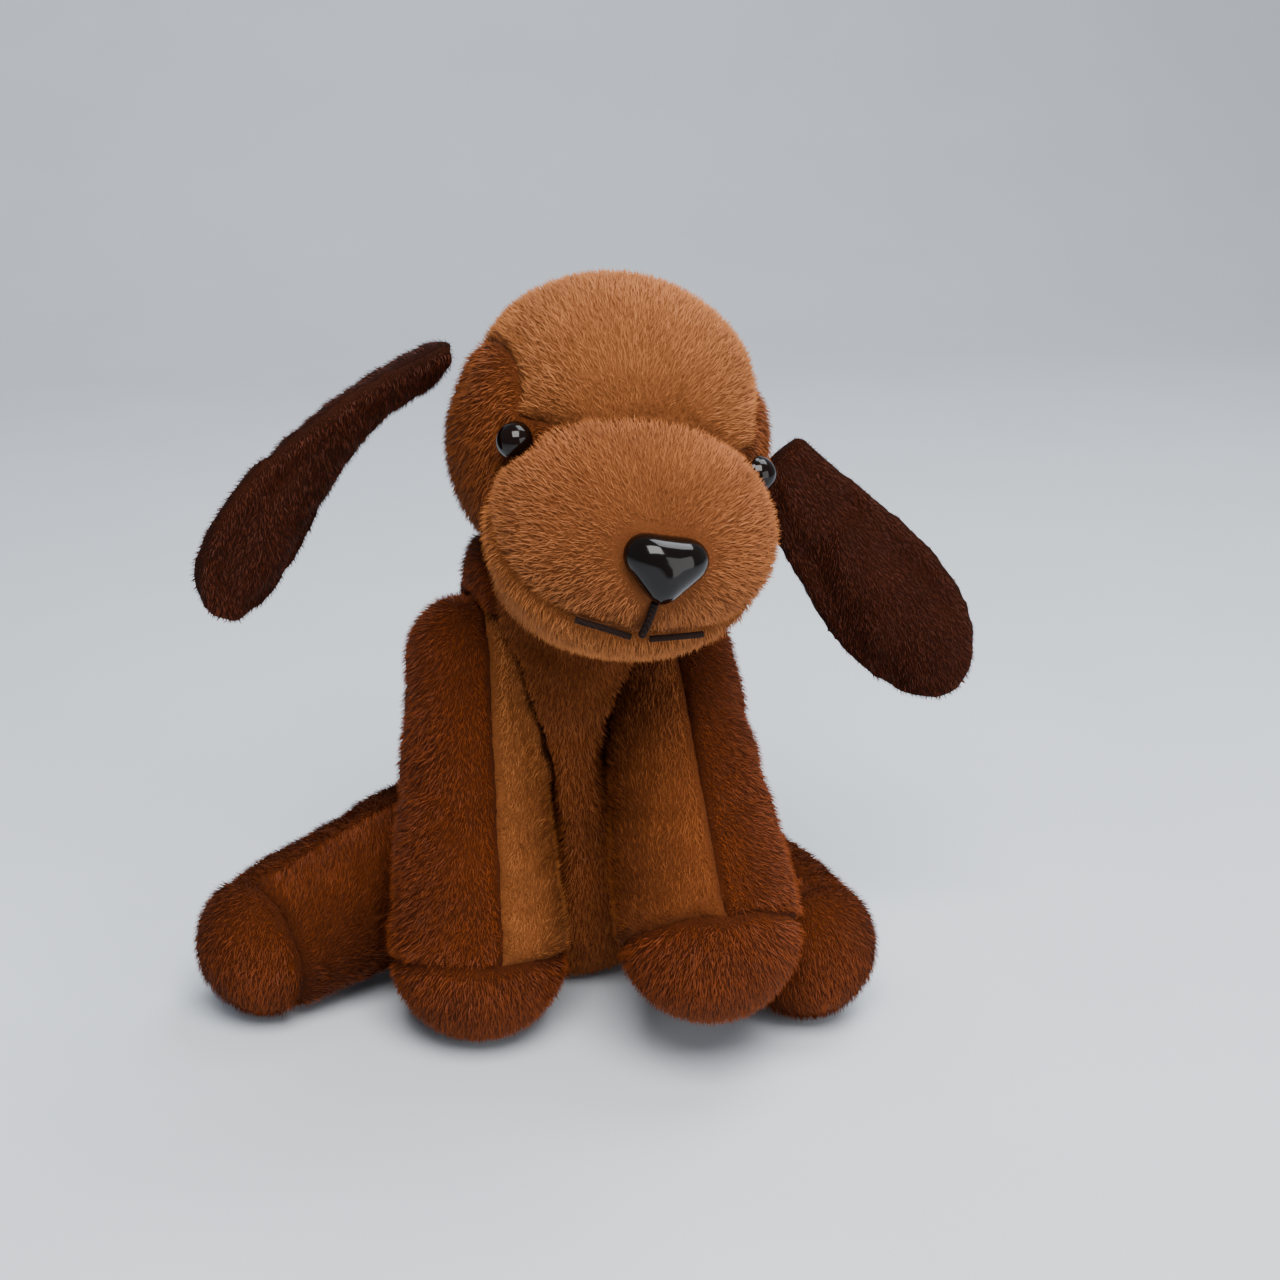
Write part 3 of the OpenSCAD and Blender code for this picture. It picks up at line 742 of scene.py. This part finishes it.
def grow(panel, form, skin, faces):
    points, normal = skin["points"], skin["normal"]
    corners = triangles_of(faces)
    a, b, c = (points[corners[:, i]] for i in range(3))
    area = np.linalg.norm(np.cross(b - a, c - a), axis=1) / 2
    total = area.cumsum()
    count = int(total[-1] / MM ** 2 * PILE_PER_MM2)
    pick = np.searchsorted(total, (np.arange(count) + chance.random(count)) / count * total[-1])
    pick = np.minimum(pick, len(area) - 1)
    u, v = chance.random((2, count))
    flip = u + v > 1
    u[flip], v[flip] = 1 - u[flip], 1 - v[flip]
    weight = np.stack([1 - u - v, u, v], axis=1)
    tri = corners[pick]

    def at(values):
        w = weight if values.ndim == 1 else weight[:, :, None]
        return (values[tri] * w).sum(1)

    p, n = at(points), unit(at(normal))
    gap, seam, parting = at(skin["gap"]), at(skin["distance"]), at(skin["parting"])
    free = np.clip(gap / (2.4 * MM), 0.25, 1)
    for tree in hard_trees if form == "head" else []:
        found = np.array([tree.find_nearest(q, 4 * MM)[3] or 4 * MM for q in p])
        free = np.minimum(free, np.clip((found - 0.35 * MM) / (2.0 * MM), 0, 1))
    keep = free > 0.12
    p, n, seam, parting, free = p[keep], n[keep], seam[keep], parting[keep], free[keep]
    count = len(p)
    near = np.exp(-(seam / (1.5 * MM)) ** 2)
    comb = unit(nap(panel, form, p))
    comb = unit(comb - n * (comb * n).sum(1, keepdims=True))
    swirl = chance.normal(0, 0.3, (count, 3))
    split = unit(parting - n * (parting * n).sum(1, keepdims=True))
    lay = comb + swirl + split * (near * 1.2)[:, None]
    lay = unit(lay - n * (lay * n).sum(1, keepdims=True))
    lift = np.radians(np.clip(chance.normal(38, 9, count) + 16 * near, 12, 80))[:, None]
    rise = n * np.sin(lift) + lay * np.cos(lift)
    longest = EAR_PILE_LENGTH if form.startswith("ear") else PILE_LENGTH
    short = 1 - 0.5 * np.exp(-(seam / (0.8 * MM)) ** 2)
    length = (longest * chance.uniform(0.7, 1.12, count) * free * short)[:, None]
    across = unit(np.cross(rise, n))
    roll = np.radians(chance.uniform(-40, 40, count))[:, None]
    across = across * np.cos(roll) + np.cross(rise, across) * np.sin(roll)
    width = (PILE_WIDTH * chance.uniform(0.8, 1.25, count))[:, None]
    root = p - n * 0.2 * MM
    spots = np.stack([root - across * width / 2, root + across * width / 2,
                      root + rise * length], axis=1)
    spots[:, :, 2] = np.maximum(spots[:, :, 2], FLOOR_CLEARANCE)
    mesh = bpy.data.meshes.new(panel + "_pile")
    mesh.vertices.add(count * 3)
    mesh.vertices.foreach_set("co", spots.reshape(-1).astype(np.float32))
    mesh.loops.add(count * 3)
    mesh.loops.foreach_set("vertex_index", np.arange(count * 3, dtype=np.int32))
    mesh.polygons.add(count)
    mesh.polygons.foreach_set("loop_start", np.arange(0, count * 3, 3, dtype=np.int32))
    mesh.update(calc_edges=True)
    along = mesh.attributes.new("along", "FLOAT", "POINT")
    along.data.foreach_set("value", np.tile((0, 0, 1.0), count).astype(np.float32))
    tone = mesh.attributes.new("tone", "FLOAT", "POINT")
    # Tone varies at random from blade to blade; blades in the seam groove are darker, painted
    # shade, and those on the rise beside it a little lighter, painted light.
    ridge = np.exp(-((seam - 1.8 * MM) / (0.9 * MM)) ** 2)
    tone_and_seam_shade = chance.normal(0.5, 0.2, count) + 0.25 * ridge - 0.7 * np.exp(-(seam / (0.7 * MM)) ** 2)
    tone_and_seam_shade = np.clip(tone_and_seam_shade, -0.6, 1)
    tone.data.foreach_set("value", np.repeat(tone_and_seam_shade, 3).astype(np.float32))
    side = int(np.ceil(np.sqrt(count)))
    cell = np.stack([np.arange(count) % side, np.arange(count) // side], axis=1)[:, None, :]
    flat = np.array([(0.06, 0.06), (0.94, 0.06), (0.5, 0.94)])
    layout = mesh.uv_layers.new(name="OFBake")
    layout.data.foreach_set("uv", ((cell + flat) / side).reshape(-1).astype(np.float32))
    return mesh, count


blades = 0
for form, skin in fine.items():
    for k, panel in enumerate(FORMS[form][0]):
        mesh, count = grow(panel, form, skin, skin["faces"][skin["label"] == k])
        blades += count
        piece = new_object(panel + "_pile", mesh, FINISHES[FINISH_OF[panel]][1])
        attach(piece, form)
print("pile blades", blades)

# %% [markdown]
# ## The hidden pieces
#
# The fillings, the pouch of pellets and the washers never show, but they are in the model, so
# each gets the finish it really has. Their CAD shapes are right, and only the material changes.

# %% Finishes for the fillings, the pouch and the washers
def plain(name, dark, light, pitch, rough=0.8, depth=0.2 * MM, **shader):
    paint = Paint(name, **shader)
    grain = paint.cloud(pitch, 3.0, 0.6)
    return paint.surface(Base_Color=paint.mix(grain, colour(*dark), colour(*light)),
                         Roughness=(rough + (grain - 0.5) * 0.2).clamped(),
                         Normal=paint.bump(grain, depth))


HIDDEN = {
    "fibre": plain("fibre_filling", (205, 203, 196), (244, 243, 238), 1.6 * MM, 0.9, 0.8 * MM,
                   Sheen_Weight=0.4),
    "pouch": plain("pouch_cloth", (196, 190, 176), (226, 222, 210), 0.5 * MM, 0.85),
    "pellets": plain("pellet_plastic", (214, 212, 205), (240, 239, 235), 3 * MM, 0.35, 0.02 * MM),
    "washer": plain("nylon_washer", (216, 216, 210), (238, 238, 233), 2 * MM, 0.4, 0.02 * MM),
}
for node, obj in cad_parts.items():
    kind = ("fibre" if node.endswith("_stuffing") else "pouch" if node == "pellet_pouch"
            else "pellets" if node == "pellets" else "washer" if "washer" in node else None)
    if kind:
        for place in obj.material_slots:
            place.material = HIDDEN[kind]
print("hidden nodes finished")

# %% [markdown]
# ## Eyes and nose
#
# Safety eyes are moulded plastic domes on a shank, and a washer inside holds each one. A lathed
# profile gives a clean dome with a small rolled rim. The nose is a rounded triangle, so its
# outline is read off the CAD node, smoothed, and crowned as one dome over its own shank.

# %% Lathed eyes and a crowned nose
EYE_TURNS = 64
NOSE_TURNS = 96


def grid_mesh(name, rings):
    """Rings of points, each as long as the last, joined with quads and capped."""
    count = len(rings[0])
    faces = [(i * count + k, i * count + (k + 1) % count,
              (i + 1) * count + (k + 1) % count, (i + 1) * count + k)
             for i in range(len(rings) - 1) for k in range(count)]
    points = [tuple(p) for ring in rings for p in ring]
    faces.append(tuple(range(count))[::-1])
    faces.append(tuple(range((len(rings) - 1) * count, len(rings) * count)))
    mesh = bpy.data.meshes.new(name)
    mesh.from_pydata(points, [], faces)
    mesh.update()
    mesh.shade_smooth()
    return mesh


def fitted_ball(points):
    """Centre and radius of the ball that fits the points best."""
    rows = np.column_stack([2 * points, np.ones(len(points))])
    answer = np.linalg.lstsq(rows, (points ** 2).sum(1), rcond=None)[0]
    return answer[:3], math.sqrt(answer[3] + (answer[:3] ** 2).sum())


def gloss(name, dark, light, rough):
    paint = Paint(name, Coat_Weight=0.1, Coat_Roughness=0.04, Specular_IOR_Level=0.22)
    haze = paint.cloud(4 * MM, 2.0)
    scuff = paint.cloud(0.5 * MM, 4.0, 0.7)
    return paint.surface(Base_Color=paint.mix(haze, colour(*dark), colour(*light)),
                         Roughness=(rough + (scuff - 0.5) * 0.06).clamped(),
                         Normal=paint.bump(scuff, 0.008 * MM, 0.4))


eye_gloss = gloss("eye_gloss", (6, 3, 2), (20, 9, 5), 0.1)
nose_gloss = gloss("nose_gloss", (5, 3, 2), (14, 8, 6), 0.12)
eye_spots = {}
for side in ("left", "right"):
    points = node_mesh("eye_" + side)[0]
    washer = middle("eye_washer_" + side)
    axis = unit(points.mean(0) - washer)
    reach = (points - washer) @ axis
    centre, radius = fitted_ball(points[reach > reach.max() - 2.4 * MM])
    axis = unit(centre - washer)
    eye_spots[side] = centre
    a = unit(np.cross(axis, (0, 0, 1)))
    b = np.cross(axis, a)
    profile = [(radius * math.sin(t), radius * math.cos(t)) for t in np.linspace(0.02, 1.5, 22)]
    profile += [(radius * 1.03, -0.1 * MM), (radius * 1.03, -0.35 * MM),
                (radius * 0.95, -0.6 * MM), (radius * 0.42, -0.9 * MM), (1.15 * MM, -1.3 * MM)]
    profile += [(1.15 * MM, -(radius + 5.0 * MM)), (0.9 * MM, -(radius + 5.3 * MM))]
    turn = np.linspace(0, 2 * math.pi, EYE_TURNS, endpoint=False)[:, None]
    rings = [centre + axis * z + r * (np.cos(turn) * a + np.sin(turn) * b) for r, z in profile]
    piece = new_object("eye_" + side + "_dome", grid_mesh("eye_" + side, rings), eye_gloss)
    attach(piece, "head")
    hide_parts("eye_" + side)
    print("eye", side, "radius mm", round(radius / MM, 2))

points = node_mesh("nose")[0]
washer = middle("nose_washer")
out = unit(points.mean(0) - washer)
right = unit(eye_spots["left"] - eye_spots["right"])
right = unit(right - out * (right @ out))
up = np.cross(out, right) * (1 if np.cross(out, right)[2] > 0 else -1)
flat = points[(points - washer) @ out > 0.45 * ((points - washer) @ out).max()]
centre = flat.mean(0)
px, py, pz = ((flat - centre) @ v for v in (right, up, out))
turn = np.linspace(-math.pi, math.pi, NOSE_TURNS, endpoint=False)
support = (np.cos(turn)[:, None] * px + np.sin(turn)[:, None] * py).max(1)
facing = np.cos(turn[:, None] - turn[None, :])
radius = np.where(facing > 0.2, support[None, :] / np.maximum(facing, 0.2), 1).min(1)
for _ in range(8):
    radius = (np.roll(radius, 1) + 2 * radius + np.roll(radius, -1)) / 4
low, high = pz.min(), pz.max()
spokes = np.cos(turn)[:, None] * right + np.sin(turn)[:, None] * up
rings = []
for t in np.linspace(0.03, 1.0, 26):
    crown = low + (high - low) * (1 - t ** 2.6) ** 0.62
    rings.append(centre + out * crown + spokes * (radius * t)[:, None])
for share, drop in ((0.97, 0.5 * MM), (0.85, 0.9 * MM), (0.16, 1.3 * MM), (0.16, 6 * MM)):
    rings.append(centre + out * (low - drop) + spokes * (radius * share)[:, None])
piece = new_object("nose_dome", grid_mesh("nose_dome", rings), nose_gloss)
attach(piece, "head")
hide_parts("nose")
print("nose mm", round(2 * np.abs(px).max() / MM, 1), round((py.max() - py.min()) / MM, 1),
      "crown", round((high - low) / MM, 1))

# %% [markdown]
# ## Thread
#
# The mouth is sewn through the pile with dark twisted thread, and the back is closed with
# brown. The CAD tubes lie in the right place, so they stay, and the twist comes from a fine
# band pattern across the thread.

# %% Thread finishes
def thread(name, dark, light):
    paint = Paint(name, Roughness=0.75, Specular_IOR_Level=0.12)
    ply = paint.node("ShaderNodeTexWave", {"bands_direction": "DIAGONAL"},
                     {"Vector": paint.place(), "Scale": 900.0, "Distortion": 1.5, "Detail": 1.0})
    fuzz = paint.cloud(0.3 * MM, 3.0, 0.7)
    twist = (ply * 0.7 + fuzz * 0.3).clamped()
    return paint.surface(Base_Color=paint.mix(twist, colour(*dark), colour(*light)),
                         Normal=paint.bump(twist, 0.12 * MM))


THREADS = {"philtrum_stitch": thread("dark_thread", (8, 4, 3), (40, 22, 15)),
           "back_closing_stitches": thread("brown_thread", (48, 20, 5), (104, 54, 22))}
THREADS["mouth_stitches"] = THREADS["philtrum_stitch"]
for node, finish in THREADS.items():
    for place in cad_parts[node].material_slots:
        place.material = finish
print("threads", sorted(THREADS))

# %% [markdown]
# ## Floor, light and camera
#
# A pale sweep under soft window-like light shows the pile best: one large light from above and
# in front makes the top of the head bright and leaves the chest in gentle shadow.

# %% Stage
def area_light(name, place, target, size, watts, tint=(1, 1, 1)):
    light = bpy.data.lights.new(name, "AREA")
    light.size = size
    light.energy = watts
    light.color = tint
    obj = bpy.data.objects.new(name, light)
    bpy.context.collection.objects.link(obj)
    obj.location = place
    obj.rotation_euler = (Vector(target) - Vector(place)).to_track_quat("-Z", "Y").to_euler()
    return obj


floor_mesh = bpy.data.meshes.new("floor")
reach, height, curve = 1.6, 1.2, 0.35
profile = [(-reach, 0)]
for i in range(13):
    turn = math.radians(90 * i / 12)
    profile.append((0.55 + curve * math.sin(turn), curve * (1 - math.cos(turn))))
profile.append((0.55 + curve, height))
rows = [[(x, y, z) for y, z in profile] for x in (-1.8, 1.8)]
corners = rows[0] + rows[1]
n = len(profile)
floor_mesh.from_pydata(corners, [], [(i, i + 1, n + i + 1, n + i)[::-1] for i in range(n - 1)])
floor_mesh.shade_smooth()
ground = Paint("pale_floor", Roughness=0.9)
ground_grain = ground.cloud(60 * MM, 2.0)
floor = new_object("floor", floor_mesh, ground.surface(
    Base_Color=ground.mix(ground_grain, colour(205, 212, 220), colour(214, 220, 228))))

area_light("key", (-0.02, -0.42, 0.68), (0, 0, 0.06), 0.45, 9.5, (1.0, 0.98, 0.96))
area_light("window", (0.3, 0.12, 0.7), (0, 0, 0.06), 0.4, 4.0, (0.93, 0.97, 1.0))
area_light("fill", (0.45, -0.6, 0.2), (0, 0, 0.06), 0.5, 2.6)
world = bpy.data.worlds.new("studio")
bpy.context.scene.world = world
world.use_nodes = True
world.node_tree.nodes["Background"].inputs["Color"].default_value = colour(222, 228, 236)
world.node_tree.nodes["Background"].inputs["Strength"].default_value = 0.35

AZIMUTH, ELEVATION, DISTANCE = math.radians(-10), math.radians(19.5), 0.36
target = Vector((0, -0.012, 0.066))
back = Vector((math.sin(AZIMUTH) * math.cos(ELEVATION), -math.cos(AZIMUTH) * math.cos(ELEVATION),
               math.sin(ELEVATION)))
lens = bpy.data.cameras.new("camera")
lens.angle = math.radians(36)
lens.shift_x = 0.06
lens.clip_start = 0.01
camera = bpy.data.objects.new("camera", lens)
bpy.context.collection.objects.link(camera)
camera.location = target + back * DISTANCE
camera.rotation_euler = (-back).to_track_quat("-Z", "Y").to_euler()
bpy.context.scene.camera = camera
